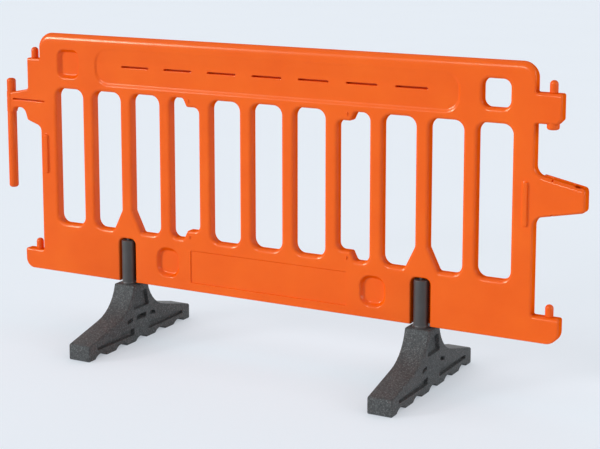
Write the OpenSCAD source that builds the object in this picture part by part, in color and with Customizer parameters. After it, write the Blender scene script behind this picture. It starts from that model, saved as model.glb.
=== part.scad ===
// Pedestrian barrier panel: a hollow slatted panel with link fittings at its ends, on two feet
// that swivel under it. Millimetres. X runs along the panel, the front faces -Y, Z is up.
// The origin is on the ground, midway between the tip of the tongue and the outside of the rod.

/* [Panel] */
// Width of the panel between its side edges
panel_w = 1740; // [1730:5:1760]
// Height of the panel
panel_h = 805; // [800:1:815]
// Thickness of the panel
panel_t = 38; // [36:1:42]
// Wall thickness of the hollow panel
wall = 4.5; // [3.5:0.5:5]
// Height of the panel's lower edge above the ground
ground_gap = 195; // [190:1:205]
// Radius of the two top corners
top_r = 48; // [36:2:56]
// Width of the end stiles beside the outer windows
stile_w = 65; // [60:1:70]
// Height of the band above the windows
top_band = 181; // [178:1:186]

/* [Windows] */
// Width of the bars between the windows
bar_w = 40; // [38:1:44]
// Corner radius of a window
window_r = 30; // [22:1:36]
// Height of the window sills above the panel's lower edge
sill_h = 169; // [168:1:180]
// Width of the sign tabs in the corners of two windows
tab_w = 46; // [40:1:50]
// Height of the sign tabs
tab_h = 28; // [24:1:34]
// Chamfer on the free corner of a sign tab
tab_cut = 5; // [3:0.5:7]
// Slant of a sign tab's free side over its height
tab_slant = 14; // [8:1:16]
// Width of the gussets beside the foot sockets
gusset_w = 33; // [30:1:38]
// Height of the gussets
gusset_h = 67.5; // [60:0.5:74]
// Radius where a sign tab runs into the side of its window
tab_fillet = 20; // [14:1:22]

/* [Face details] */
// Distance of the sign recess from the panel's side edges
sign_in = 230; // [220:5:240]
// Height of the sign recess
sign_h = 136; // [130:1:140]
// Corner radius of the sign recess
sign_r = 52; // [40:2:60]
// Depth of the shallow recesses
sign_d = 3; // [2:0.5:3.5]
// Distance of the sign recess from the panel's top edge
sign_top = 28; // [24:1:32]
// Distance of the outer slots from the ends of the sign recess
slot_in = 100.5; // [90:0.5:110]
// Distance between two slots
slot_gap = 58.5; // [50:0.5:66]
// Height of a slot
slot_h = 5; // [4:0.5:6]
// Depth of a slot below the sign recess
slot_d = 3; // [2:0.5:3.5]
// Distance of the label recess in the bottom band from the pockets beside it
label_gap = 47; // [42:1:54]
// Height of the label recess
label_h = 108; // [100:2:112]
// Distance of the label recess from the window sills
label_top = 34; // [30:1:38]
// Corner radius of the label recess
label_r = 10; // [8:1:14]
// Width of the hand hole
hole_w = 88; // [82:1:92]
// Height of the hand hole
hole_h = 84; // [78:1:90]
// Distance of the hand hole from the panel's top edge
hole_top = 53; // [48:1:58]
// Width of the hand pocket at the other end of the panel
hand_w = 84; // [78:1:90]
// Height of the hand pocket
hand_h = 98; // [90:1:102]
// Distance of the hand pocket from the panel's top edge
hand_top = 49; // [44:1:54]
// Corner radius of the hand hole and of the hand pocket
hand_r = 22; // [16:1:26]
// Distance of the middle of hand hole and hand pocket from the panel's side edges
hand_in = 118; // [112:1:122]
// Width of the pockets in the bottom band
pocket_w = 80; // [74:1:86]
// Height of the pockets in the bottom band
pocket_h = 94; // [86:1:98]
// Distance of the pockets' middle from the stems
pocket_in = 158; // [152:1:164]
// Distance of the pockets from the window sills
pocket_top = 38; // [34:1:42]
// Corner radius of the pockets in the bottom band
pocket_r = 32; // [26:1:36]
// Depth of the pockets
pocket_d = 12; // [8:1:14]
// Width of the ribs on the end stiles
rib_w = 18; // [14:1:20]
// Length of the ribs
rib_h = 132; // [120:2:140]
// Height of the ribs over the face
rib_d = 3; // [2:0.5:4]
// Distance of the ribs' middle from the panel's side edge
rib_in = 24; // [20:1:28]
// Distance of the ribs' middle below the tongue's axis
rib_drop = 24; // [18:1:30]

/* [Link fittings] */
// Radius of the link rod
rod_r = 15.5; // [14:0.5:16]
// Length of the link rod
rod_len = 374; // [360:2:390]
// Distance of the rod's axis from the panel's side edge
rod_reach = 134; // [128:0.5:138]
// Length of the rod's free end below the arm
rod_free = 261; // [252:1:268]
// Distance of the arm's top from the panel's top edge
arm_top = 199; // [194:1:204]
// Height of the arm where it holds the rod
arm_h = 76; // [72:1:80]
// Radius of the arch under the arm, beside the rod
arch_r = 26; // [22:1:28]
// Radius of the coupling pegs
peg_r = 12; // [10:0.5:12.5]
// Height of the pegs over their lugs
peg_up = 36; // [30:1:42]
// Radius of a peg's shank in its lug
shank_r = 10; // [8:0.5:10]
// Depth of a peg's shank in its lug
peg_in = 34; // [28:1:40]
// Distance of the upper left peg from the panel's side edge
peg_ul = 30; // [27:1:31]
// Distance of the lower left peg from the panel's side edge
peg_ll = 28; // [27:1:34]
// Distance of the upper right peg from the panel's side edge
peg_ur = 47; // [42:1:52]
// Distance of the lower right peg from the panel's side edge
peg_lr = 49; // [44:1:54]
// Height of the tongue's axis above the rod's lower end
tongue_rise = 155; // [148:1:162]
// Thickness of the tongue
tongue_t = 46; // [44:1:50]
// Length of the tongue beyond the panel's side edge
tongue_len = 152; // [144:1:156]
// Height of the tongue at its root
tongue_root_h = 118; // [112:1:124]
// Height of the tongue at its tip
tongue_tip_h = 66; // [60:1:72]
// Radius where the tongue leaves the panel
tongue_root_r = 30; // [24:1:36]
// Radius of the bore for the next panel's rod
bore_r = 16.5; // [16.5:0.5:17.5]
// Distance of the bore's axis from the tongue's tip
bore_in = 26; // [24.5:0.5:40]

/* [Feet] */
// Length of a foot
foot_len = 580; // [560:5:600]
// Width of a foot
foot_w = 79; // [75:1:84]
// Height of a foot's end face
foot_end_h = 50; // [46:1:54]
// Distance from the stem to where the foot's top starts to curve up
slope_y = 141; // [136:1:146]
// Height where the foot's top starts to curve up
slope_z = 87; // [85:1:90]
// Radius of the foot's curved top
slope_r = 139; // [134:1:142]
// Height of the arches under a foot
arch_h = 13; // [10:1:15]
// Width of the arches under a foot
arch_w = 63; // [56:1:68]
// Distance between two arches
arch_pitch = 112; // [108:1:114]
// Depth of the side pockets of a foot
foot_pocket_d = 11; // [7:1:13]
// Radius of a stem
stem_r = 22.5; // [21:0.5:23]
// Gap between a foot's top and the panel's lower edge
foot_gap = 6; // [4:1:8]
// Depth of a stem in its foot
stem_in = 96; // [86:2:104]
// Width of the openings around the stems
socket_w = 63; // [61:1:66]
// Height of the web between the openings and the window sills
socket_web = 25; // [22:1:30]
// Corner radius of the openings
socket_r = 18; // [14:1:22]
// Distance of the stems' axes in front of the panel's mid-plane
stem_y = 10; // [9.5:0.5:11]
// Radius of a stem's spigot
spigot_r = 6; // [5:0.5:6.5]
// Length of a stem's spigot
spigot_len = 68; // [56:1:72]

/* [Fits] */
// Running clearance of a spigot in its bore
run_gap = 0.05; // [0.03:0.01:0.08]
// Clearance between a spigot's end and the bore that rests on it
seat_gap = 0.3; // [0.2:0.1:0.5]
// Clearance of the pieces that are pushed in and stay there
push_gap = 0.06; // [0.04:0.01:0.1]

/* [Hidden] */
$fn = 48;
window_count = 11;
slot_count = 7;
cut = 2;
edge = 1.5;
half_w = panel_w / 2;
half_t = panel_t / 2;
base = ground_gap;
pitch = (panel_w - 2 * stile_w + bar_w) / window_count;
window_w = pitch - bar_w;
window_h = panel_h - sill_h - top_band;
sign_w = panel_w - 2 * sign_in;
sign_z = panel_h - sign_top - sign_h / 2;
slot_w = (sign_w - 2 * slot_in - (slot_count - 1) * slot_gap) / slot_count;
slot_pitch = slot_w + slot_gap;
foot_x = 3.5 * pitch;
pocket_x = foot_x - pocket_in;
pocket_z = sill_h - pocket_top - pocket_h / 2;
label_w = 2 * (pocket_x - pocket_w / 2 - label_gap);
label_z = sill_h - label_top - label_h / 2;
hand_x = half_w - hand_in;
hand_z = panel_h - hand_top - hand_h / 2;
hole_z = panel_h - hole_top - hole_h / 2;
foot_h = ground_gap - foot_gap;
socket_h = sill_h - socket_web;
stem_top = socket_h - 5;
bore_top = socket_h + spigot_len;
lug_l = 52;
lug_l_top = 87;
lug_l_z = panel_h - lug_l_top;
lug_r = 78;
lug_r_top = 85;
lug_r_h = 88;
lug_r_z = panel_h - lug_r_top;
lug_cut = 14;
low_l = 76;
low_l_h = 66;
low_r = 83;
low_r_h = 77;
low_lug_r = 40;
boss_h = 16;
arm_z = panel_h - arm_top;
arm_low = arm_z - arm_h;
arm_root = 32;
arm_lip = 20;
arch_drop = 8;
arm_fall = 8;
arm_fillet = 22;
eye_wall = 2.5;
eye_r = rod_r + eye_wall;
rod_step = 0.5;
rod_shank_r = rod_r - rod_step;
rod_z = arm_low - rod_free;
rod_end_r = 9;
peg_end_r = 8;
groove_h = 5;
groove_d = 3;
groove_z = arm_z - 31;
tongue_z = rod_z + tongue_rise;
tongue_flat = 20;
tongue_step = 16;
tip_r = 13;
flange_w = 4;
flange_t = 2;
flange_h = 7;
foot_r = 7;
side_x = 44;
side_top_x = 31;
side_h = 54;
side_top = 25;
notch_x = 50;
notch_w = 30;
notch_h = 12;
notch_z = 74;
wedge_x = 42;
wedge_end = 46;
wedge_z = 26;
slit_w = 54;
slit_h = 16;
slit_d = 22;
slit_z = 80;

function window_x(i) = (i - (window_count - 1) / 2) * pitch;

// Rectangle with rounded corners about the origin
module rrect(w, h, r) {
    square([w - 2 * r, h], center = true);
    square([w, h - 2 * r], center = true);
    for (x = [-1, 1], y = [-1, 1])
        translate([x * (w / 2 - r), y * (h / 2 - r)])
            circle(r);
}

// Corner fill between two edges that meet at the origin, open towards +X and +Y
module fillet(r) {
    difference() {
        translate([-1, -1])
            square(r + 1);
        translate([r, r])
            circle(r);
    }
}

// Plate across the panel's thickness from a drawing in X and Z
module slab(t) {
    rotate([90, 0, 0])
        linear_extrude(t, center = true)
            children();
}

// Cut from the front face to a depth
module front_cut(d) {
    translate([0, (d - cut) / 2 - half_t, 0])
        slab(d + cut)
            children();
}

// Cut from the back face to a depth
module back_cut(d) {
    mirror([0, 1, 0])
        front_cut(d)
            children();
}

// One window, grown on all sides
module window(grow = 0) {
    translate([0, sill_h + window_h / 2])
        rrect(window_w + 2 * grow, window_h + 2 * grow, window_r + grow);
}

// Sign tabs in the top and bottom corners of a window's right side
module tabs() {
    lean = tab_slant / tab_h;
    for (end = [0, 1])
        translate([window_w / 2, sill_h + end * window_h])
            mirror([0, end])
                union() {
                    polygon([[-tab_w - (tab_h + cut) * lean, -cut], [cut, -cut], [cut, tab_h],
                        [tab_cut - tab_w, tab_h], [-tab_w - tab_cut * lean, tab_h - tab_cut]]);
                    translate([0, tab_h])
                        mirror([1, 0])
                            fillet(tab_fillet);
                }
}

// Gusset in the lower right corner of a window
module gusset() {
    polygon([[window_w / 2 + cut, sill_h - cut], [window_w / 2 - gusset_w, sill_h - cut],
        [window_w / 2 - gusset_w, sill_h], [window_w / 2, sill_h + gusset_h],
        [window_w / 2 + cut, sill_h + gusset_h]]);
}

// All windows with their tabs and gussets
module windows() {
    for (i = [0 : window_count - 1])
        translate([window_x(i), 0])
            difference() {
                window();
                if (i == 3)
                    tabs();
                if (i == 7)
                    mirror([1, 0])
                        tabs();
                if (i == 1 || i == 8)
                    gusset();
                if (i == 2 || i == 9)
                    mirror([1, 0])
                        gusset();
            }
}

// Main outline of the panel, drawn in by a margin
module field(in = 0) {
    translate([in - half_w, in])
        square([panel_w - 2 * in, panel_h - top_r - in]);
    translate([top_r - half_w, panel_h - top_r - 1])
        square([panel_w - 2 * top_r, top_r + 1 - in]);
    for (s = [-1, 1])
        translate([s * (half_w - top_r), panel_h - top_r])
            circle(top_r - in);
}

// Lower lug at the right side edge
module low_lug(w, h) {
    translate([half_w - 1, 0])
        difference() {
            square([w + 1, h]);
            translate([w + 1, 0])
                mirror([1, 0])
                    fillet(low_lug_r);
        }
}

// Upper right lug
module high_lug() {
    polygon([[half_w - 1, lug_r_z - lug_r_h], [half_w + lug_r - lug_cut, lug_r_z - lug_r_h],
        [half_w + lug_r, lug_r_z - lug_r_h + lug_cut], [half_w + lug_r, lug_r_z],
        [half_w - 1, lug_r_z]]);
}

// Upper left lug and the arm to the rod, drawn at the right side edge
module arm() {
    arch_x = half_w + rod_reach - rod_r - arch_r;
    low = arm_low - arm_lip;
    root = arm_low - arm_root;
    translate([half_w - 1, root])
        square([lug_l + 1, lug_l_z - root]);
    difference() {
        polygon([[half_w - 1, root - 1], [half_w + 16, root - 1], [arch_x - arch_r, low],
            [half_w + rod_reach, low], [half_w + rod_reach, arm_z - arm_fall],
            [half_w + lug_l, arm_z], [half_w - 1, arm_z]]);
        translate([arch_x, arm_low - arch_drop])
            circle(arch_r);
        translate([arch_x - arch_r, low - 1])
            square([2 * arch_r, arm_lip + 1 - arch_drop]);
        translate([arch_x, low - 1])
            square([rod_reach, arm_lip + 1]);
    }
    translate([half_w, root])
        mirror([0, 1])
            fillet(arm_fillet);
}

// Tongue with its root radii, drawn at the right side edge
module tongue_face() {
    slope = atan((tongue_root_h - tongue_tip_h) / 2 / (tongue_len - tongue_flat));
    root_x = half_w + tongue_flat;
    cx = half_w + tongue_root_r;
    rise = tongue_root_h / 2 - (cx - root_x) * tan(slope) + tongue_root_r / cos(slope);
    translate([0, tongue_z]) {
        for (s = [0, 1])
            mirror([0, s]) {
                polygon([[half_w - 1, -1], [half_w + tongue_len - tip_r, -1],
                    [half_w + tongue_len - tip_r, tongue_tip_h / 2 + tip_r * tan(slope)],
                    [half_w - 1, tongue_root_h / 2 + (tongue_flat + 1) * tan(slope)]]);
                difference() {
                    polygon([[half_w - 1, 0], [half_w - 1, rise], [cx, rise],
                        [cx - tongue_root_r * sin(slope), rise - tongue_root_r * cos(slope)]]);
                    translate([cx, rise])
                        circle(tongue_root_r);
                }
                translate([half_w + tongue_len - tip_r, tongue_tip_h / 2 - tip_r])
                    circle(tip_r);
            }
        translate([half_w + tongue_len - tip_r - 1, tip_r - tongue_tip_h / 2])
            square([tip_r + 1, tongue_tip_h - 2 * tip_r]);
    }
}

// Tongue from above: flush with the panel's face at its root, wider towards its tip
module tongue_plan() {
    polygon([[half_w - 2, -half_t], [half_w + tongue_len + cut, -tongue_t / 2],
        [half_w + tongue_len + cut, tongue_t / 2], [half_w + tongue_step + 4, tongue_t / 2],
        [half_w + tongue_step, half_t], [half_w - 2, half_t]]);
}

// Opening in front of a stem, open at the panel's lower edge
module socket(grow = 0) {
    translate([0, socket_h / 2 - socket_r - cut])
        rrect(socket_w + 2 * grow, socket_h + 2 * (socket_r + cut + grow), socket_r + grow);
}

// Shallow recesses of both faces
module shallow(grow = 0) {
    translate([0, sign_z])
        rrect(sign_w + 2 * grow, sign_h + 2 * grow, sign_r + grow);
    translate([0, label_z])
        rrect(label_w + 2 * grow, label_h + 2 * grow, label_r + grow);
}

// Deep pockets of the front face
module pockets(grow = 0) {
    translate([-hand_x, hand_z])
        rrect(hand_w + 2 * grow, hand_h + 2 * grow, hand_r + grow);
    for (s = [-1, 1])
        translate([s * pocket_x, pocket_z])
            rrect(pocket_w + 2 * grow, pocket_h + 2 * grow, pocket_r + grow);
}

// Hand hole through the panel
module hand_hole(grow = 0) {
    translate([hand_x, hole_z])
        rrect(hole_w + 2 * grow, hole_h + 2 * grow, hand_r + grow);
}

// Space inside the panel
module hollow() {
    difference() {
        slab(panel_t - 2 * wall)
            difference() {
                field(wall);
                for (i = [0 : window_count - 1])
                    translate([window_x(i), 0])
                        window(wall);
                hand_hole(wall);
                for (s = [-1, 1])
                    translate([s * foot_x, 0]) {
                        socket(wall);
                        translate([-bar_w, socket_h])
                            square([2 * bar_w, spigot_len + 2 * wall]);
                    }
            }
        front_cut(wall + sign_d)
            shallow(wall);
        back_cut(wall + sign_d)
            shallow(wall);
        front_cut(wall + pocket_d)
            pockets(wall);
    }
}

// Bore for a peg's shank, from the top of a lug down
module peg_bore(x, z) {
    translate([x, 0, z - peg_in - push_gap])
        cylinder(h = peg_in + push_gap + cut, r = shank_r + push_gap);
}

module panel() {
    color([0.94, 0.39, 0.13])
        translate([0, 0, base])
            difference() {
                union() {
                    slab(panel_t) {
                        difference() {
                            field();
                            windows();
                            hand_hole();
                        }
                        low_lug(low_r, low_r_h);
                        mirror([1, 0])
                            low_lug(low_l, low_l_h);
                        high_lug();
                        mirror([1, 0])
                            arm();
                    }
                    translate([half_w + peg_ur, 0, lug_r_z - lug_r_h - boss_h])
                        cylinder(h = boss_h + half_t, r = half_t);
                    translate([-half_w - rod_reach, 0, arm_low])
                        cylinder(h = arm_h - arm_fall, r = eye_r);
                    intersection() {
                        slab(tongue_t + cut)
                            tongue_face();
                        translate([0, 0, tongue_z - tongue_root_h])
                            linear_extrude(2 * tongue_root_h)
                                tongue_plan();
                    }
                    for (s = [-1, 1])
                        translate([s * (half_w - rib_in), -half_t, tongue_z - rib_drop])
                            slab(2 * rib_d)
                                rrect(rib_w, rib_h, rib_w / 2 - 0.5);
                }
                hollow();
                front_cut(sign_d)
                    shallow();
                back_cut(sign_d)
                    shallow();
                front_cut(pocket_d)
                    pockets();
                front_cut(panel_t - wall)
                    for (s = [-1, 1])
                        translate([s * foot_x, 0])
                            socket();
                for (i = [0 : slot_count - 1])
                    translate([(i - (slot_count - 1) / 2) * slot_pitch, 0, sign_z])
                        front_cut(sign_d + slot_d)
                            rrect(slot_w, slot_h, slot_h / 2 - 0.2);
                translate([-half_w - rod_reach / 2 + groove_h, 0, groove_z])
                    front_cut(groove_d)
                        square([rod_reach, groove_h], center = true);
                for (s = [-1, 1])
                    translate([s * foot_x, -stem_y, socket_h - 1])
                        cylinder(h = spigot_len + 1, r = spigot_r + run_gap);
                translate([-half_w - rod_reach, 0, arm_low - cut])
                    cylinder(h = arm_h + 2 * cut, r = rod_shank_r + push_gap);
                translate([half_w + tongue_len - bore_in, 0, tongue_z - tongue_root_h])
                    cylinder(h = 2 * tongue_root_h, r = bore_r);
                peg_bore(-half_w - peg_ul, lug_l_z);
                peg_bore(half_w + peg_ur, lug_r_z);
                peg_bore(-half_w - peg_ll, low_l_h);
                peg_bore(half_w + peg_lr, low_r_h);
            }
}

// Round bar along Z: a shank below the origin with its shoulder at the origin, a free end above
module bar(shank, inner_r, inner_end_r, len, r, end_r) {
    rotate_extrude()
        intersection() {
            translate([0, -shank])
                square([r, shank + len]);
            union() {
                translate([0, inner_end_r - shank])
                    square([inner_r, shank + push_gap + edge - inner_end_r]);
                translate([0, -shank])
                    square([inner_r - inner_end_r, inner_end_r + 1]);
                translate([inner_r - inner_end_r, inner_end_r - shank])
                    circle(inner_end_r);
                polygon([[0, push_gap], [r - edge, push_gap], [r, push_gap + edge], [r, len - end_r],
                    [0, len - end_r]]);
                translate([0, len - end_r - 1])
                    square([r - end_r, end_r + 1]);
                translate([r - end_r, len - end_r])
                    circle(end_r);
            }
        }
}

module link_rod() {
    color([0.92, 0.36, 0.12])
        translate([-half_w - rod_reach, 0, base + arm_low])
            mirror([0, 0, 1])
                bar(rod_len - rod_free, rod_shank_r, rod_end_r, rod_free, rod_r, rod_end_r);
}

module peg(x, z) {
    color([0.92, 0.36, 0.12])
        translate([x, 0, base + z])
            bar(peg_in, shank_r, edge, peg_up, peg_r, peg_end_r);
}

module upper_left_peg() {
    peg(-half_w - peg_ul, lug_l_z);
}

module upper_right_peg() {
    peg(half_w + peg_ur, lug_r_z);
}

module lower_left_peg() {
    peg(-half_w - peg_ll, low_l_h);
}

module lower_right_peg() {
    peg(half_w + peg_lr, low_r_h);
}

// Stem with its flange and spigot, about the Z axis
module stem() {
    seat = foot_h + push_gap;
    tip = base + bore_top - seat_gap;
    color([0.33, 0.33, 0.34])
        rotate_extrude()
            polygon([[0, foot_h - stem_in], [stem_r - 2, foot_h - stem_in],
                [stem_r, foot_h - stem_in + 2], [stem_r, seat], [stem_r + flange_w, seat],
                [stem_r + flange_w, seat + flange_t], [stem_r, seat + flange_h],
                [stem_r, base + stem_top - 6], [stem_r - 2, base + stem_top - 2],
                [stem_r - 6, base + stem_top], [spigot_r, base + stem_top], [spigot_r, tip - 2],
                [spigot_r - 2, tip], [0, tip]]);
}

module left_stem() {
    translate([-foot_x, -stem_y, 0])
        stem();
}

module right_stem() {
    translate([foot_x, -stem_y, 0])
        stem();
}

// Side view of a foot, in Y and Z
module foot_side() {
    half = foot_len / 2;
    fall = atan((slope_z - foot_end_h) / (half - slope_y));
    low = foot_end_h - cut * tan(fall);
    difference() {
        for (s = [0, 1])
            mirror([s, 0])
                difference() {
                    polygon([[-1, 0], [half + cut, 0], [half + cut, low], [slope_y, slope_z],
                        [slope_y, foot_h], [-1, foot_h]]);
                    translate([slope_y + slope_r * sin(fall), slope_z - 0.2 + slope_r * cos(fall)])
                        circle(slope_r);
                }
        for (i = [-2 : 2])
            translate([i * arch_pitch, arch_h - (arch_w * arch_w / 4 + arch_h * arch_h) / 2 / arch_h])
                circle((arch_w * arch_w / 4 + arch_h * arch_h) / 2 / arch_h);
    }
}

// Pockets in one side of a foot, in Y and Z
module foot_pockets() {
    translate([0, foot_h - side_top - side_h])
        polygon([[-side_x, 0], [side_x, 0], [side_top_x, side_h], [-side_top_x, side_h]]);
    for (s = [0, 1])
        mirror([s, 0]) {
            translate([notch_x, notch_z])
                polygon([[0, 0], [notch_w, -0.2 * notch_w], [notch_w, notch_h - 0.2 * notch_w],
                    [0, notch_h]]);
            translate([0, wedge_z])
                polygon([[wedge_x, 0], [foot_len / 2 - wedge_end, 2], [foot_len / 2 - wedge_end, 12],
                    [wedge_x, 24]]);
        }
}

// Foot about the Z axis, its slotted side towards +X, its stem out of the middle by a distance
module foot(off) {
    color([0.24, 0.24, 0.25])
        difference() {
            intersection() {
                rotate([90, 0, 90])
                    linear_extrude(foot_w + cut, center = true)
                        foot_side();
                translate([0, 0, -1])
                    linear_extrude(foot_h + cut)
                        rrect(foot_w, foot_len, foot_r);
            }
            for (s = [-1, 1])
                translate([s * foot_w / 2, 0, 0])
                    rotate([90, 0, 90])
                        linear_extrude(2 * foot_pocket_d, center = true)
                            foot_pockets();
            translate([foot_w / 2, 0, slit_z])
                cube([2 * slit_d, slit_w, slit_h], center = true);
            translate([0, off, foot_h - stem_in - push_gap])
                cylinder(h = stem_in + cut, r = stem_r + push_gap);
        }
}

module left_foot() {
    translate([-foot_x, 0, 0])
        foot(-stem_y);
}

module right_foot() {
    translate([foot_x, 0, 0])
        rotate([0, 0, 180])
            foot(stem_y);
}

panel();
link_rod();
upper_left_peg();
upper_right_peg();
lower_left_peg();
lower_right_peg();
left_stem();
right_stem();
left_foot();
right_foot();
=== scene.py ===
import math
from collections import namedtuple
import bpy
import bmesh
from mathutils import Vector, Matrix
from mathutils.geometry import tessellate_polygon


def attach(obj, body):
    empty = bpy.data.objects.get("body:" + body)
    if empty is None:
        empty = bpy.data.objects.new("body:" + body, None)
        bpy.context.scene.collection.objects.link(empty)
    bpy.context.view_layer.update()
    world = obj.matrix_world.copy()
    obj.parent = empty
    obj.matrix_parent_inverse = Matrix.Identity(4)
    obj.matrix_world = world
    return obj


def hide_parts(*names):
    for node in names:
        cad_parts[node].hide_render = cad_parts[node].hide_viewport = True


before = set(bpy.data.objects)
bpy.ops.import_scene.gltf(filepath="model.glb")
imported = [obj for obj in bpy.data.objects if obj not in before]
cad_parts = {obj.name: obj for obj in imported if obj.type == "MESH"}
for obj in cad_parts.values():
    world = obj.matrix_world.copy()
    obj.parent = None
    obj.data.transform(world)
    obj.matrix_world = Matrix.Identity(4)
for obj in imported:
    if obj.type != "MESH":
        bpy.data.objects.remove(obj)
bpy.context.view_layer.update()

# Sizes are in millimetres: u runs along the panel from its middle, v up from the panel's bottom edge,
# w forwards from its mid-plane and z up from the ground.
MM = 0.001

# Panel: z of its bottom edge, half the distance between its side edges, half its thickness, its height
BASE = 195.0
HALF_W = 870.0
HALF_T = 19.0
PANEL_H = 805.0

# Windows: lower and upper edge, spacing, half width; they are counted from 0 at the left
SILL = 169.0
LINTEL = 624.0
PITCH = 150.0
HALF_WIN = 55.0
WINDOWS = 11
MIDDLE_WINDOW = 5
GUSSET_WINDOWS = (1, 2, 8, 9)
TAB_WINDOWS = (3, 7)
MIRRORED_WINDOWS = (2, 7, 9)

# Lugs: how far they reach from the panel's middle, and their tops
LOW_LEFT_END = 946.0
LOW_LEFT_TOP = 66.0
LOW_RIGHT_END = 953.0
LOW_RIGHT_TOP = 77.0
HIGH_LEFT_END = 922.0
HIGH_LEFT_TOP = 718.0
HIGH_RIGHT_END = 948.0
HIGH_RIGHT_TOP = 720.0

# Pegs: place along the panel and top of the lug that carries each
PEGS = {"upper_left": (-900.0, HIGH_LEFT_TOP), "upper_right": (917.0, HIGH_RIGHT_TOP),
        "lower_left": (-898.0, LOW_LEFT_TOP), "lower_right": (919.0, LOW_RIGHT_TOP)}

# Tongue: height of its middle, half heights at its root and tip, its end, the place of its bore, and how
# far its two small holes lie above and below its middle
TONGUE_V = 424.0
TONGUE_ROOT = 63.0
TONGUE_TIP = 33.0
TONGUE_END = 1022.0
BORE_X = 996.0
DIMPLE_OFFSET = 50.0

# Rod and the lower end of the eye that holds it
ROD_X = -1004.0
EYE_LOW = 725.0

# Stems and feet
FOOT_X = 525.0
STEM_Y = -10.0
FOOT_TOP = 189.0

# Width of the level strip kept beside rims and in floors
FLAT = 1.5
# Points nearer than this become one
MERGE = 0.005
# Edges that turn more than this stay sharp
SMOOTH_ANGLE = math.radians(38)


# Outlines are closed lists of corners, anticlockwise seen from the viewer. A radius of 0 keeps the corner
# as one point, wide lets its arc take most of its sides, and scale is the size of the rounding along the
# side that follows, against the rounding elsewhere.

Corner = namedtuple("Corner", "u v r wide scale", defaults=(0.0, False, 1.0))

# Two sides are taken as one straight line if the product of their normals passes PARALLEL, and a corner
# has no arc if it turns less than STRAIGHT
PARALLEL = 0.9999
STRAIGHT = 1e-3
# Smallest radius of a grown corner, share of a side that an arc may take, and times that for a wide one
LEAST_R = 0.05
ARC_SHARE = 0.499
WIDE_TIMES = 1.9
# A rounding grows no deeper past this scale
DEEPEST_SCALE = 2.5


def grown(corners, grow):
    """The corners with all sides moved outwards, the sides' directions and the turns at the corners."""
    n = len(corners)
    pts = [Vector((c.u, c.v)) for c in corners]
    dirs = [(pts[(i + 1) % n] - pts[i]).normalized() for i in range(n)]
    places, turns = [], []
    for i in range(n):
        a, b = dirs[i - 1], dirs[i]
        out_a, out_b = Vector((a.y, -a.x)), Vector((b.y, -b.x))
        grow_a, grow_b = grow * corners[i - 1].scale, grow * corners[i].scale
        cos = out_a.dot(out_b)
        if cos > PARALLEL:
            places.append(pts[i] + out_a * grow_a)
        else:
            shift = out_a * (grow_a - cos * grow_b) + out_b * (grow_b - cos * grow_a)
            places.append(pts[i] + shift / (1 - cos * cos))
        turns.append(math.atan2(a.x * b.y - a.y * b.x, a.dot(b)))
    return places, dirs, turns


def ring(corners, grow=0.0, seg=8):
    """The grown outline as points (u, v, scale), as many of them however far it grows."""
    places, dirs, turns = grown(corners, grow)
    n = len(corners)
    out = []
    for i, (corner, place, turn) in enumerate(zip(corners, places, turns)):
        before, after = corners[i - 1].scale, corner.scale
        if abs(turn) < STRAIGHT or corner.r == 0:
            out.append(Vector((place.x, place.y, after)))
            continue
        mean = grow * (before + after) / 2
        r = max(corner.r + (mean if turn > 0 else -mean), LEAST_R)
        reach = r * math.tan(abs(turn) / 2)
        room = ARC_SHARE * min((place - places[i - 1]).length, (places[(i + 1) % n] - place).length)
        if corner.wide:
            room *= WIDE_TIMES
        if reach > room:
            r *= room / reach
            reach = room
        start = place - dirs[i - 1] * reach
        inwards = Vector((-dirs[i - 1].y, dirs[i - 1].x)) * (1 if turn > 0 else -1)
        centre = start + inwards * r
        count = max(2, math.ceil(abs(turn) / (math.pi / 2) * seg))
        for k in range(count + 1):
            q = centre + Matrix.Rotation(turn * k / count, 2) @ (start - centre)
            out.append(Vector((q.x, q.y, before + (after - before) * k / count)))
    return out


def rect(u, v, w, h, r):
    """A rectangle about its middle, from its lower left corner."""
    left, right, low, high = u - w / 2, u + w / 2, v - h / 2, v + h / 2
    return [Corner(left, low, r), Corner(right, low, r), Corner(right, high, r), Corner(left, high, r)]


def sides(corners, bottom=1.0, right=1.0, top=1.0, left=1.0):
    """A rectangle with the width of its rounding or slope set for each side."""
    return [c._replace(scale=scale) for c, scale in zip(corners, (bottom, right, top, left))]


def sill(corners, scale=1.5):
    """The outline of a hole with a wider rounding along its bottom."""
    low = min(c.v for c in corners)
    ends = corners[1:] + corners[:1]
    return [c._replace(scale=scale if c.v == low == end.v else 1.0) for c, end in zip(corners, ends)]


def mirrored(corners, u=0.0):
    """An outline with even rounding, turned over about an upright line."""
    return [c._replace(u=2 * u - c.u) for c in reversed(corners)]


# Profiles are lists of (growth of the outline, height over the face), from the outside inwards.

def steps(n):
    """A quarter turn in even steps, without its start."""
    return [math.pi / 2 * k / n for k in range(1, n + 1)]


def recess(depth, rim, taper, floor, n=4):
    """A recess with a rounded rim and a rounded foot."""
    p = [(rim + FLAT, 0.0), (rim, 0.0)]
    p += [(rim * (1 - math.sin(a)), -rim * (1 - math.cos(a))) for a in steps(n)]
    p += [(-taper - floor * (1 - math.cos(a)), -depth + floor * (1 - math.sin(a))) for a in [0] + steps(n)]
    return p + [(-taper - floor - FLAT, -depth)]


def sloped(depth, width, n=10):
    """A recess whose wall runs smoothly from the face into the floor."""
    p = [(FLAT, 0.0)]
    p += [(-width * k / n, -depth * (1 - math.cos(math.pi * k / n)) / 2) for k in range(n + 1)]
    return p + [(-width - FLAT, -depth)]


def raised(height, rim, foot, n=4):
    """A raised rib with a rounded rim and a rounded foot."""
    p = [(foot + FLAT, 0.0), (foot, 0.0)]
    p += [(foot * (1 - math.sin(a)), foot * (1 - math.cos(a))) for a in steps(n)]
    p += [(-rim * (1 - math.cos(a)), height - rim * (1 - math.sin(a))) for a in [0] + steps(n)]
    return p


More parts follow.
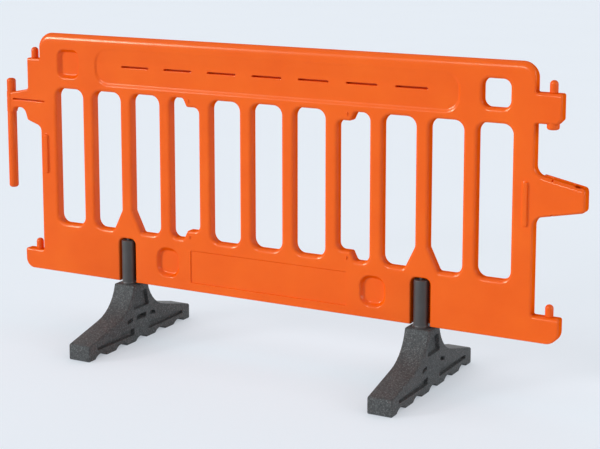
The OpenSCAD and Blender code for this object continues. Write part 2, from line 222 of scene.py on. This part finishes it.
# Meshes

def new_object(name, bm):
    bmesh.ops.remove_doubles(bm, verts=bm.verts, dist=MERGE * MM)
    bmesh.ops.recalc_face_normals(bm, faces=bm.faces)
    me = bpy.data.meshes.new(name)
    bm.to_mesh(me)
    bm.free()
    me.shade_smooth()
    me.set_sharp_from_angle(angle=SMOOTH_ANGLE)
    ob = bpy.data.objects.new(name, me)
    bpy.context.scene.collection.objects.link(ob)
    return ob


class Plate:
    """A plate between two faces: rounded outline and holes, with recesses and ribs in its faces."""

    def __init__(self, half, place):
        self.bm = bmesh.new()
        self.half = half
        self.place = place
        self.loops = {1: [], -1: []}

    def loop(self, pts, height):
        """Vertices along an outline; the height is a number or depends on the point."""
        at = height if callable(height) else lambda p: height
        return [self.bm.verts.new(self.place(p.x, p.y, at(p))) for p in pts], pts

    def skin(self, rows):
        """Faces between neighbouring loops."""
        for (a, _), (b, _) in zip(rows, rows[1:]):
            for i in range(len(a)):
                j = (i + 1) % len(a)
                self.bm.faces.new((a[i], a[j], b[j], b[i]))

    def edge(self, corners, bevel, hole=False, seg=8, n=5, depth=1.0):
        """The wall of the outline or of a hole, with both its edges rounded; depth flattens the rounding."""
        way = 1 if hole else -1
        prof = [(bevel + FLAT, 0.0), (bevel, 0.0)]
        prof += [(bevel * (1 - math.sin(a)), bevel * depth * (1 - math.cos(a))) for a in steps(n)]
        rows = []
        for face, half_wall in ((1, prof), (-1, prof[::-1])):
            for g, d in half_wall:
                pts = ring(corners, way * g, seg)
                rows.append(self.loop(pts, lambda p: face * (self.half - d * min(p.z, DEEPEST_SCALE))))
        self.skin(rows)
        self.loops[1].append(rows[0])
        self.loops[-1].append(rows[-1])

    def feature(self, corners, profile, face=1, inner=(), seg=6, fade=lambda v: 1.0):
        """A recess or rib in a face, with smaller ones in its floor; fade scales its depth by height."""
        def row(outline, growth, height):
            return self.loop(ring(outline, growth, seg), lambda p: face * height(p.y))

        rows = [row(corners, g, lambda v: self.half + h * fade(v)) for g, h in profile]
        self.skin(rows)
        self.loops[face].append(rows[0])
        caps = [rows[-1]]
        floor = profile[-1][1]
        for outline, prof in inner:
            rows = [row(outline, g, lambda v: self.half + floor * fade(v) + h) for g, h in prof]
            self.skin(rows)
            caps.append(rows[0])
            self.cap([rows[-1]])
        self.cap(caps)

    def cap(self, loops):
        """Triangles inside the first loop and outside the others."""
        verts = [v for l in loops for v in l[0]]
        for tri in tessellate_polygon([[Vector((p.x, p.y, 0)) for p in l[1]] for l in loops]):
            self.bm.faces.new([verts[i] for i in tri])

    def finish(self, name):
        for face in (1, -1):
            self.cap(self.loops[face])
        return new_object(name, self.bm)


def lathe(name, profile, x, y, n=64):
    """A turned piece about an upright axis from points (radius, z), closed on the axis or as a ring."""
    bm = bmesh.new()
    angles = [2 * math.pi * k / n for k in range(n)]
    rows = []
    for r, z in profile:
        if r == 0:
            places = [(x, y)]
        else:
            places = [(x + r * math.cos(a), y + r * math.sin(a)) for a in angles]
        rows.append([bm.verts.new((px * MM, py * MM, z * MM)) for px, py in places])
    pairs = list(zip(rows, rows[1:]))
    if len(rows[0]) > 1 and len(rows[-1]) > 1:
        pairs.append((rows[-1], rows[0]))
    for a, b in pairs:
        for k in range(n):
            j = (k + 1) % n
            quad = [a[k % len(a)], a[j % len(a)], b[j % len(b)], b[k % len(b)]]
            bm.faces.new([v for i, v in enumerate(quad) if v not in quad[:i]])
    return new_object(name, bm)


def arc(r0, z0, r, start, end, n=6):
    """Points of a circular arc in a turned profile, angles in degrees from the outward direction."""
    angles = [math.radians(start + (end - start) * k / n) for k in range(n + 1)]
    return [(r0 + r * math.cos(a), z0 + r * math.sin(a)) for a in angles]


def cut(ob, cutters):
    """Takes the cutters out of a piece and throws them away."""
    for c in cutters:
        m = ob.modifiers.new("cut", "BOOLEAN")
        m.operation = "DIFFERENCE"
        m.solver = "EXACT"
        m.object = c
        dg = bpy.context.evaluated_depsgraph_get()
        me = bpy.data.meshes.new_from_object(ob.evaluated_get(dg))
        ob.modifiers.clear()
        old = ob.data
        ob.data = me
        bpy.data.meshes.remove(old)
        bpy.data.objects.remove(c)
    bm = bmesh.new()
    bm.from_mesh(ob.data)
    bmesh.ops.triangulate(bm, faces=[f for f in bm.faces if len(f.verts) > 4])
    bm.to_mesh(ob.data)
    bm.free()
    ob.data.shade_smooth()
    ob.data.set_sharp_from_angle(angle=SMOOTH_ANGLE)


# Panel

def window(i):
    """The outline of a window: with a gusset beside a stem, with tabs at two corners, or plain."""
    r, bend_r, tip_r, inner_r = 30, 12, 7, 20
    gusset_w, gusset_h = 33, 67.5
    tab_root, tab_tip, tab_h = 60, 46, 28
    middle = (i - MIDDLE_WINDOW) * PITCH
    left, right = middle - HALF_WIN, middle + HALF_WIN
    if i in GUSSET_WINDOWS:
        corners = [Corner(left, SILL, r), Corner(right - gusset_w, SILL, bend_r),
                   Corner(right, SILL + gusset_h, inner_r), Corner(right, LINTEL, r),
                   Corner(left, LINTEL, r)]
    elif i in TAB_WINDOWS:
        tip, low, high = right - tab_tip, SILL + tab_h, LINTEL - tab_h
        corners = [Corner(left, SILL, r), Corner(right - tab_root, SILL, bend_r), Corner(tip, low, tip_r),
                   Corner(right, low, inner_r), Corner(right, high, inner_r), Corner(tip, high, tip_r),
                   Corner(right - tab_root, LINTEL, bend_r), Corner(left, LINTEL, r)]
    else:
        corners = rect(middle, (SILL + LINTEL) / 2, 2 * HALF_WIN, LINTEL - SILL, r)
    return mirrored(corners, middle) if i in MIRRORED_WINDOWS else corners


def tongue_outline():
    """The tapered tongue at the right, upwards."""
    return [Corner(HALF_W, TONGUE_V - TONGUE_ROOT, r=30), Corner(TONGUE_END, TONGUE_V - TONGUE_TIP, r=13),
            Corner(TONGUE_END, TONGUE_V + TONGUE_TIP, r=13, scale=1.7),
            Corner(HALF_W, TONGUE_V + TONGUE_ROOT, r=30)]


def upper_right_lug():
    """The upper right lug with its cut lower corner, upwards."""
    end, low, cut_off = HIGH_RIGHT_END, 632, 14
    return [Corner(HALF_W, low, r=6), Corner(end - cut_off, low, r=4), Corner(end, low + cut_off, r=6),
            Corner(end, HIGH_RIGHT_TOP, r=6, scale=1.5), Corner(HALF_W, HIGH_RIGHT_TOP, r=4)]


def arm_outline():
    """The arm at the left, from the lug above it to the eye and back along the arch under it."""
    top, eye_top, low, arch_top, bend_v, root_v = 612.5, 594, 530, 548, 508, 489
    end, arch_left, arch_right, bend = -1012, -988.5, -938, -926
    return [Corner(-HIGH_LEFT_END, top, r=9), Corner(end, eye_top, r=2), Corner(end, low, r=2),
            Corner(arch_left, low, r=2), Corner(arch_left, arch_top, r=18, wide=True),
            Corner(arch_right, arch_top, r=26), Corner(bend, bend_v, r=9), Corner(-HALF_W, root_v, r=22)]


def panel_outline():
    """The panel with lugs, tongue and arm, from its lower left corner to the right and round."""
    bottom = [Corner(-LOW_LEFT_END, 0, r=52, scale=0.5), Corner(LOW_RIGHT_END, 0, r=60),
              Corner(LOW_RIGHT_END, LOW_RIGHT_TOP, r=7, scale=1.5), Corner(HALF_W, LOW_RIGHT_TOP, r=4)]
    top = [Corner(HALF_W, PANEL_H, r=48, scale=3.6), Corner(-HALF_W, PANEL_H, r=48),
           Corner(-HALF_W, HIGH_LEFT_TOP, r=4), Corner(-HIGH_LEFT_END, HIGH_LEFT_TOP, r=5)]
    lower_left = [Corner(-HALF_W, LOW_LEFT_TOP, r=4), Corner(-LOW_LEFT_END, LOW_LEFT_TOP, r=6)]
    return bottom + tongue_outline() + upper_right_lug() + top + arm_outline() + lower_left


def panel_place(u, v, w):
    """A point of the panel; the tongue's front swells towards its end, and the arm is thinner at the eye."""
    swell, swell_length, half_span = 4.0, 150.0, 94.0
    neck_u, neck_length, neck_loss = -945.0, 50.0, 0.26
    if u > HALF_W and w > 0 and abs(v - TONGUE_V) < half_span:
        w *= 1 + swell / HALF_T * min((u - HALF_W) / swell_length, 1)
    if u < neck_u:
        t = min((neck_u - u) / neck_length, 1)
        w *= 1 - neck_loss * t * t * (3 - 2 * t)
    return u * MM, -w * MM, (BASE + v) * MM


def add_holes(p):
    """The windows and the hand hole."""
    bevel, flatness = 10, 0.72
    # A hair of difference keeps the windows' points off one line, which would leave empty triangles.
    hair, least_at = 0.004, 4.3
    for i in range(WINDOWS):
        p.edge(sill(window(i)), bevel + hair * (i - least_at) ** 2, hole=True, n=6, depth=flatness)
    p.edge(sill(rect(u=752, v=710, w=88, h=84, r=24)), bevel, hole=True, n=6, depth=flatness)


def add_sign(p, face):
    """The recessed band for a sign, which runs out towards its top; the front one has slots."""
    top, fade_height, least = 771, 50, 0.02
    slots, slot_pitch = 7, 162.5
    inner = []
    if face > 0:
        slit = recess(depth=22, rim=0.8, taper=0, floor=0.6, n=2)
        inner = [(rect((k - slots // 2) * slot_pitch, v=709, w=104, h=6.5, r=3), slit) for k in range(slots)]
    band = sides(rect(u=0, v=704.5, w=1290, h=131, r=55), bottom=1.25, right=0.75, left=0.75)
    p.feature(band, sloped(depth=5, width=13), face, inner=inner, seg=8,
              fade=lambda v: min(max((top - v) / fade_height, least), 1))


def add_label(p, face):
    """The shallow rectangle in the bottom band."""
    label = sides(rect(u=0, v=81, w=560, h=108, r=6), bottom=0.3, right=0.3, left=0.3)
    p.feature(label, sloped(depth=3.2, width=5), face)


def add_pockets(p):
    """The hand pocket at the upper left and the two pockets in the bottom band."""
    wall = sloped(depth=14, width=16)
    p.feature(sides(rect(u=-752, v=706.5, w=92, h=102, r=29), right=0.7), wall, seg=8)
    for u in (-367, 367):
        p.feature(sides(rect(u, v=83.5, w=90, h=102, r=37), right=0.7, left=0.9), wall, seg=8)


def add_ribs(p, side):
    """The rib near a side edge, and the nibs at the tabs of a window."""
    rib_inset, nib_u, nib_inset = 24, 281, 8
    rib = rect(side * (HALF_W - rib_inset), v=400, w=16, h=130, r=7)
    p.feature(rib, raised(height=6.5, rim=3.5, foot=2.5))
    for v in (SILL + nib_inset, LINTEL - nib_inset):
        p.feature(rect(-side * nib_u, v, w=4, h=11, r=1.9), raised(height=3.5, rim=1.6, foot=1, n=3))


def add_groove(p):
    """The groove along the arm."""
    p.feature(rect(u=-920, v=575, w=136, h=5, r=2.4), recess(depth=16, rim=1.5, taper=0.3, floor=0.8, n=3))


def make_panel():
    p = Plate(HALF_T, panel_place)
    p.edge(panel_outline(), bevel=7, n=8)
    add_holes(p)
    for face in (1, -1):
        add_sign(p, face)
        add_label(p, face)
    add_pockets(p)
    for side in (-1, 1):
        add_ribs(p, side)
    add_groove(p)
    return p.finish("panel_shell")


def bore_cutter():
    """The bore in the tongue for the rod of the next panel."""
    r, low, high = 16.5, BASE + 340, BASE + 510
    return lathe("cutter", [(0, low), (r, low), (r, high), (0, high)], x=BORE_X, y=0, n=48)


def dimple_cutter(v):
    """A small round hole in the front of the tongue."""
    u, r, points = 924, 3.2, 16
    front_y, floor_y = -40, -9
    angles = [2 * math.pi * k / points for k in range(points)]
    circle = [(u + r * math.cos(a), v + r * math.sin(a)) for a in angles]
    bm = bmesh.new()
    front, back = [[bm.verts.new((cu * MM, y * MM, (BASE + cv) * MM)) for cu, cv in circle]
                   for y in (front_y, floor_y)]
    bm.faces.new(front)
    bm.faces.new(list(reversed(back)))
    for i in range(points):
        j = (i + 1) % points
        bm.faces.new((front[i], back[i], back[j], front[j]))
    return new_object("cutter", bm)


def socket_cutter(x):
    """What is taken out in front of a stem, with a rounded rim and a closed back."""
    half, low, high, r = 31.5, -40, 144, 18
    rim, foot, wall_end = 6.0, 3.0, -11.5
    # The cutter stands a little proud of the face and opens a little beyond it, so that the cut is clean.
    proud, beyond, opening = 0.12, 3, 0.4
    corners = [Corner(x - half, low), Corner(x + half, low),
               Corner(x + half, high, r), Corner(x - half, high, r)]
    prof = [(rim + opening, HALF_T + beyond)]
    prof += [(rim * (1 - math.sin(a)), HALF_T + proud - rim * (1 - math.cos(a))) for a in [0] + steps(5)]
    prof += [(-foot * (1 - math.cos(a)), wall_end - foot * math.sin(a)) for a in [0] + steps(3)]
    p = Plate(HALF_T, panel_place)
    rows = [p.loop(ring(corners, growth), height) for growth, height in prof]
    p.skin(rows)
    p.cap([rows[0]])
    p.cap([rows[-1]])
    return new_object("cutter", p.bm)


def make_pad():
    """The raised pad on the back of the tongue."""
    half, middle_y, root_u, tip_u = 5.5, 17.5, 889, 1019
    p = Plate(half, lambda u, v, w: (u * MM, (middle_y - w) * MM, (BASE + v) * MM))
    p.edge([Corner(root_u, TONGUE_V - 57, r=5), Corner(tip_u, TONGUE_V - 31, r=12),
            Corner(tip_u, TONGUE_V + 34, r=12), Corner(root_u, TONGUE_V + 61, r=5)], bevel=3.5)
    ob = p.finish("tongue_pad")
    cut(ob, [bore_cutter()])
    return ob


# Fittings of the panel

def make_eye():
    """The arm's collar round the rod; the groove of the arm runs on round it."""
    bore, r, edge, high = 15.1, 16.0, 0.8, 793.4
    groove_z, groove_r, margin = 769.8, 0.9, 2.8
    prof = [(bore, EYE_LOW)] + arc(r - edge, EYE_LOW + edge, edge, -90, 0)
    prof += [(r, groove_z - margin)] + arc(r, groove_z, groove_r, 270, 90, n=8) + [(r, groove_z + margin)]
    prof += arc(r - edge, high - edge, edge, 0, 90) + [(bore, high)]
    return lathe("rod_eye", prof, x=ROD_X, y=0)


def make_boss():
    """The boss under the upper right lug, below its peg."""
    r, edge, low, high = 18, 7, 811, 836
    prof = [(0, low)] + arc(r - edge, low + edge, edge, -90, 0) + [(r, high), (0, high)]
    return lathe("lug_boss", prof, x=PEGS["upper_right"][0], y=0)


def make_rod():
    """The rod with rounded ends, a little slimmer from the eye upwards."""
    r, seat_r, edge = 15.5, 14.9, 9
    low, high, shoulder = 464, 838, 1.6
    prof = [(0, low)] + arc(r - edge, low + edge, edge, -90, 0, n=8)
    prof += [(r, EYE_LOW - shoulder), (seat_r, EYE_LOW), (seat_r, high - edge)]
    prof += arc(seat_r - edge, high - edge, edge, 0, 90, n=8) + [(0, high)]
    return lathe("rod_bar", prof, x=ROD_X, y=0)


def make_peg(name, x, lug_top):
    """A peg with a domed top, a chamfered foot on the lug and a shank in it."""
    r, height, dome = 12, 36, 11.5
    shank_r, shank, foot_r, gap, chamfer = 10, 34, 10.6, 0.06, 1.5
    z = BASE + lug_top
    prof = [(0, z - shank), (shank_r, z - shank), (shank_r, z + gap), (foot_r, z + gap), (r, z + chamfer)]
    prof += arc(r - dome, z + height - dome, dome, 0, 90, n=8) + [(0, z + height)]
    return lathe(name, prof, x, y=0, n=48)


panel = make_panel()
cut(panel, [bore_cutter(), dimple_cutter(TONGUE_V + DIMPLE_OFFSET), dimple_cutter(TONGUE_V - DIMPLE_OFFSET),
            socket_cutter(-FOOT_X), socket_cutter(FOOT_X)])
pad = make_pad()
eye = make_eye()
boss = make_boss()
rod = make_rod()
pegs = {place + "_peg": make_peg("peg_" + place, x, top) for place, (x, top) in PEGS.items()}


# Stems and feet

def make_stem(name, x):
    """A round post with a flange on the foot, a tail in the foot and a spigot in the panel."""
    r, low, high, edge = 22.5, 93, 334, 2.5
    spigot_r, tip = 6, 406.7
    gap, flange_r, lip = 0.1, 26, 1
    fillet, fillet_z = 7, 197.5
    seat = FOOT_TOP + gap
    prof = [(0, low), (r, low), (r, seat), (flange_r, seat)]
    prof += arc(flange_r - lip / 2, seat + lip, lip, -60, 60, n=4)
    prof += arc(r + fillet, fillet_z, fillet, 248, 180)
    prof += arc(r - edge, high - edge, edge, 0, 90)
    prof += [(spigot_r, high), (spigot_r, tip), (0, tip)]
    return lathe(name, prof, x, STEM_Y, n=72)


def foot_outline():
    """Side view of a foot: five arches below, low ends and a neck that curves up to the stem."""
    half, toe = 290, 50
    arch_h, arch_half, arch_pitch, pieces = 13, 31.5, 112, 10
    r = (arch_half ** 2 + arch_h ** 2) / (2 * arch_h)
    arches = []
    for k in range(-2, 3):
        for j in range(pieces + 1):
            y = 2 * arch_half * (j / pieces - 0.5)
            z = math.sqrt(r * r - y * y) + arch_h - r
            arches.append(Corner(arch_pitch * k + y, z, r=3 if j in (0, pieces) else 0))
    neck = [Corner(half, toe, r=8), Corner(59.1, 107.3, r=139, wide=True), Corner(39.4, FOOT_TOP, r=5)]
    return [Corner(-half, 0, r=5)] + arches + [Corner(half, 0, r=5)] + neck + mirrored(neck)


def make_foot(name, x, inner_face):
    """A foot with hollows in both sides and a deep slot in the side that faces the other foot."""
    half = 39.5
    hollow = [Corner(-44, 110, r=6), Corner(44, 110, r=6), Corner(31, 164, r=6), Corner(-31, 164, r=6)]
    notch = [Corner(50, 74, r=3), Corner(80, 68, r=3), Corner(80, 80, r=3), Corner(50, 86, r=3)]
    wedge = [Corner(42, 26, r=4), Corner(244, 28, r=2), Corner(244, 38, r=2), Corner(42, 50, r=6)]
    slot = rect(u=0, v=80, w=54, h=16, r=3)
    p = Plate(half, lambda u, v, w: ((x + w) * MM, u * MM, v * MM))
    p.edge(foot_outline(), bevel=4.5, seg=10)
    for face in (1, -1):
        p.feature(hollow, recess(depth=13, rim=2, taper=1.5, floor=1.5, n=3), face)
        for shape in (mirrored(notch), mirrored(wedge), notch, wedge):
            p.feature(shape, recess(depth=13, rim=1.2, taper=0.6, floor=0.4, n=2), face)
        if face == inner_face:
            p.feature(slot, recess(depth=22, rim=1.2, taper=0.4, floor=0.4, n=2), face)
    return p.finish(name)


stems = {"left": make_stem("stem_left", -FOOT_X), "right": make_stem("stem_right", FOOT_X)}
feet = {"left": make_foot("foot_block_left", -FOOT_X, 1),
        "right": make_foot("foot_block_right", FOOT_X, -1)}


# Materials

def lin(r, g, b):
    """A display colour of 0 to 255 as linear values, by the sRGB curve."""
    parts = [c / 255 for c in (r, g, b)]
    return tuple(c / 12.92 if c <= 0.04045 else ((c + 0.055) / 1.055) ** 2.4 for c in parts)


def grey(value):
    return (value,) * 3


def material(name, rough, spec=0.5):
    m = bpy.data.materials.new(name)
    m.use_nodes = True
    nt = m.node_tree
    b = nt.nodes["Principled BSDF"]
    b.inputs["Roughness"].default_value = rough
    b.inputs["Specular IOR Level"].default_value = spec
    return m, nt, b


def node(nt, kind, **values):
    """A new node with values for its sockets or its settings."""
    n = nt.nodes.new(kind)
    for k, v in values.items():
        if k in n.inputs:
            n.inputs[k].default_value = v
        else:
            setattr(n, k, v)
    return n


def ramp(nt, fac, stops):
    """A colour ramp from stops (position, colour)."""
    r = nt.nodes.new("ShaderNodeValToRGB")
    e = r.color_ramp.elements
    while len(e) < len(stops):
        e.new(0.5)
    for el, (pos, col) in zip(e, stops):
        el.position = pos
        el.color = tuple(col) + (1,)
    nt.links.new(fac, r.inputs["Fac"])
    return r.outputs["Color"]


def noise(nt, scale, detail=3.0, rough=0.5):
    tc = nt.nodes.new("ShaderNodeTexCoord")
    n = node(nt, "ShaderNodeTexNoise", Scale=scale, Detail=detail, Roughness=rough)
    nt.links.new(tc.outputs["Object"], n.inputs["Vector"])
    return n.outputs["Fac"]


def grain(nt, b, height, strength, distance):
    """Fine bumps on a surface."""
    bump = node(nt, "ShaderNodeBump", Strength=strength, Distance=distance)
    nt.links.new(height, bump.inputs["Height"])
    nt.links.new(bump.outputs["Normal"], b.inputs["Normal"])


def orange(name, base, dark, light):
    """Satin polyethylene with a soft mottle, glossier where it is seen straight on."""
    m, nt, b = material(name, rough=0.22, spec=0.3)
    b.inputs["Specular Tint"].default_value = (1.0, 0.94, 0.74, 1.0)
    mottle = noise(nt, scale=7.0, detail=4.0)
    nt.links.new(ramp(nt, mottle, [(0.3, dark), (0.52, base), (0.75, light)]), b.inputs["Base Color"])
    wear = noise(nt, scale=26.0, detail=5.0, rough=0.6)
    nt.links.new(ramp(nt, wear, [(0.3, grey(0.19)), (0.7, grey(0.25))]), b.inputs["Roughness"])
    weight = node(nt, "ShaderNodeLayerWeight", Blend=0.5)
    gloss = ramp(nt, weight.outputs["Facing"], [(0.3, grey(0.38)), (0.55, grey(0.0))])
    nt.links.new(gloss, b.inputs["Specular IOR Level"])
    grain(nt, b, noise(nt, scale=420.0, detail=2.0), strength=0.12, distance=0.0006)
    return m


def rubber():
    """Coarse recycled rubber, speckled by its crumbs."""
    m, nt, b = material("foot_rubber", rough=0.7, spec=0.35)
    tc = nt.nodes.new("ShaderNodeTexCoord")
    crumbs = node(nt, "ShaderNodeTexVoronoi", Scale=330.0)
    nt.links.new(tc.outputs["Object"], crumbs.inputs["Vector"])
    parts = nt.nodes.new("ShaderNodeSeparateColor")
    nt.links.new(crumbs.outputs["Color"], parts.inputs["Color"])
    shades = [(0.0, lin(56, 59, 60)), (0.5, lin(69, 72, 73)),
              (0.85, lin(82, 85, 86)), (1.0, lin(103, 106, 107))]
    nt.links.new(ramp(nt, parts.outputs["Red"], shades), b.inputs["Base Color"])
    grain(nt, b, noise(nt, scale=260.0, detail=4.0, rough=0.65), strength=0.55, distance=0.0015)
    return m


def stem_plastic():
    """Smooth dark grey plastic."""
    m, nt, b = material("stem_plastic", rough=0.42)
    mottle = noise(nt, scale=30.0, detail=3.0)
    nt.links.new(ramp(nt, mottle, [(0.3, lin(57, 56, 56)), (0.7, lin(65, 64, 64))]), b.inputs["Base Color"])
    grain(nt, b, noise(nt, scale=300.0, detail=2.0), strength=0.1, distance=0.0005)
    return m


panel_mat = orange("panel_plastic", base=lin(240, 96, 9), dark=lin(237, 92, 6), light=lin(243, 101, 13))
fitting_mat = orange("fitting_plastic", base=lin(237, 92, 8), dark=lin(233, 87, 5), light=lin(241, 97, 12))
rubber_mat = rubber()
stem_mat = stem_plastic()


def dress(ob, mat, body, slot, *nodes):
    """Gives a piece its material and body, and hides the nodes that it replaces; the slot is not used."""
    ob.data.materials.clear()
    ob.data.materials.append(mat)
    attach(ob, body)
    if nodes:
        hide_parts(*nodes)


dress(panel, panel_mat, "panel", "panel", "panel")
for ob in (pad, eye, boss):
    dress(ob, panel_mat, "panel", "panel")
dress(rod, fitting_mat, "panel", "fittings", "link_rod")
for n, ob in pegs.items():
    dress(ob, fitting_mat, "panel", "fittings", n)
for s in ("left", "right"):
    dress(stems[s], stem_mat, s + "_foot", "stem", s + "_stem")
    dress(feet[s], rubber_mat, s + "_foot", "foot", s + "_foot")


# Floor, light and camera

BACKDROP = lin(228, 235, 243)


def seen_rays(nt):
    """1 for rays that show the background to the camera, straight or in a reflection."""
    path = nt.nodes.new("ShaderNodeLightPath")
    seen = path.outputs["Is Camera Ray"]
    for kind in ("Is Glossy Ray", "Is Transmission Ray"):
        top = node(nt, "ShaderNodeMath", operation="MAXIMUM")
        nt.links.new(seen, top.inputs[0])
        nt.links.new(path.outputs[kind], top.inputs[1])
        seen = top.outputs[0]
    return seen


def mixed(nt, share, first, second, output):
    """Sends a mix of two shaders to the output."""
    mix = nt.nodes.new("ShaderNodeMixShader")
    nt.links.new(share, mix.inputs[0])
    nt.links.new(first.outputs[0], mix.inputs[1])
    nt.links.new(second.outputs[0], mix.inputs[2])
    nt.links.new(mix.outputs[0], nt.nodes[output].inputs["Surface"])


def make_floor():
    """A pale floor that takes the shadow and glows a little in the picture, with painted shade dimming the
    glow near the object; its half width is in metres.
    """
    half, glow_share = 60, 0.7
    bm = bmesh.new()
    for x, y in ((-half, -half), (half, -half), (half, half), (-half, half)):
        bm.verts.new((x, y, 0))
    bm.faces.new(bm.verts)
    ob = new_object("floor", bm)
    m, nt, b = material("floor_paper", rough=0.9, spec=0.0)
    mottle = noise(nt, scale=1.5, detail=2.0)
    nt.links.new(ramp(nt, mottle, [(0.3, BACKDROP), (0.7, lin(230, 237, 245))]), b.inputs["Base Color"])
    # Painted shade: ambient occlusion dims the glow close to the object, standing in for the soft shadow
    # that light from all sides would cast there.
    painted_shade_ao = node(nt, "ShaderNodeAmbientOcclusion", Distance=0.32)
    pale = ramp(nt, painted_shade_ao.outputs["AO"], [(0.0, lin(186, 192, 199)), (1.0, lin(240, 247, 255))])
    glow = node(nt, "ShaderNodeEmission", Strength=1.0)
    nt.links.new(pale, glow.inputs["Color"])
    share = node(nt, "ShaderNodeMath", operation="MULTIPLY")
    nt.links.new(seen_rays(nt), share.inputs[0])
    share.inputs[1].default_value = glow_share
    mixed(nt, share.outputs[0], b, glow, "Material Output")
    ob.data.materials.append(m)


def make_world():
    """Soft light, stronger from the sides than from above, and a pale backdrop in the picture."""
    world = bpy.data.worlds.new("studio")
    bpy.context.scene.world = world
    world.use_nodes = True
    nt = world.node_tree
    light = nt.nodes["Background"]
    light.inputs["Strength"].default_value = 1.0
    way = nt.nodes.new("ShaderNodeTexCoord")
    split = nt.nodes.new("ShaderNodeSeparateXYZ")
    nt.links.new(way.outputs["Generated"], split.inputs[0])
    level = ramp(nt, split.outputs["Z"], [(0.0, grey(0.38)), (0.9, grey(0.2))])
    nt.links.new(level, light.inputs["Color"])
    backdrop = node(nt, "ShaderNodeBackground", Strength=1.0, Color=BACKDROP + (1,))
    mixed(nt, seen_rays(nt), light, backdrop, "World Output")


def sun(name, strength, angle, direction):
    d = bpy.data.lights.new(name, "SUN")
    d.energy = strength
    d.angle = math.radians(angle)
    o = bpy.data.objects.new(name, d)
    o.rotation_euler = Vector(direction).to_track_quat("-Z", "Y").to_euler()
    bpy.context.scene.collection.objects.link(o)


def make_camera():
    """The camera fitted to the photo: its focal length in pixels, and its tilt and turn in degrees."""
    photo_w, focal_px, sensor = 600, 1544.4, 36
    tilt, turn = 8.754, 28.759
    cam = bpy.data.cameras.new("camera")
    cam.sensor_width = sensor
    cam.lens = focal_px / photo_w * sensor
    cam.shift_y = -0.18
    cam.clip_end = 300
    ob = bpy.data.objects.new("camera", cam)
    ob.location = (2.3456, -4.0732, 1.5041)
    ob.rotation_euler = (math.radians(90 - tilt), 0, math.radians(turn))
    bpy.context.scene.collection.objects.link(ob)
    bpy.context.scene.camera = ob


make_floor()
make_world()
sun("key", strength=1.8, angle=14, direction=(0.68, 0.66, -0.32))
sun("front", strength=0.62, angle=9, direction=(0.25, 0.87, -0.42))
sun("side", strength=1.2, angle=40, direction=(-0.95, -0.05, -0.3))
sun("back", strength=1.1, angle=60, direction=(0.6, -0.7, -0.4))
bpy.context.scene.view_settings.view_transform = "Standard"
make_camera()

bpy.context.view_layer.update()
